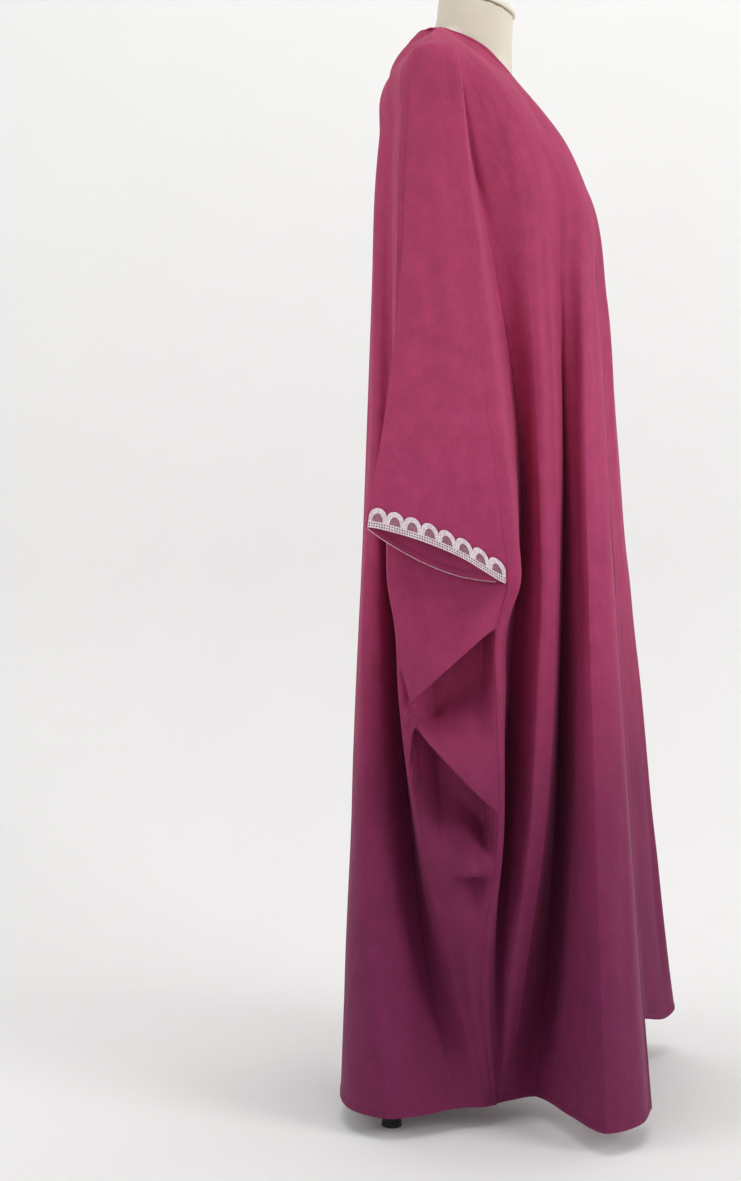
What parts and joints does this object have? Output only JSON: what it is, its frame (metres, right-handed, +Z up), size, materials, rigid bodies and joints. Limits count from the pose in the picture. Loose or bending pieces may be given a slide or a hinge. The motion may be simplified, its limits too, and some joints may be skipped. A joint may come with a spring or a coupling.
{
  "type": "butterfly abaya with lace cuffs on a limbless dress form",
  "caption": "Open-front butterfly abaya in draped crepe with scalloped lace at the cuffs, sleeves hanging empty, on a limbless dress form with a tripod stand.",
  "frame": {"origin": "on the floor, under the middle of the whole object's bounding box", "axes": "+Z up, the garment's front faces -Y, the wearer's right is -X"},
  "size_m": [0.5378, 0.4588, 1.5239],
  "materials": {
    "crepe": "matte crepe, raspberry at the shoulders turning to plum at the hem",
    "lace": "white corded lace",
    "form_linen": "ivory jersey over a shell",
    "cap": "satin",
    "stand_black": "satin black",
    "foot_rubber": "matte"
  },
  "bodies": {
    "root": {"front_right": "crepe", "front_left": "crepe", "back": "crepe", "lace_front_right": "lace", "lace_back_right": "lace", "lace_front_left": "lace", "lace_back_left": "lace", "form_body": "form_linen", "neck_cap": "cap", "stand_column": "stand_black", "stand_hub": "stand_black", "stand_leg_1": "stand_black", "stand_leg_2": "stand_black", "stand_leg_3": "stand_black", "stand_foot_1": "foot_rubber", "stand_foot_2": "foot_rubber", "stand_foot_3": "foot_rubber"}
  },
  "joints": []
}
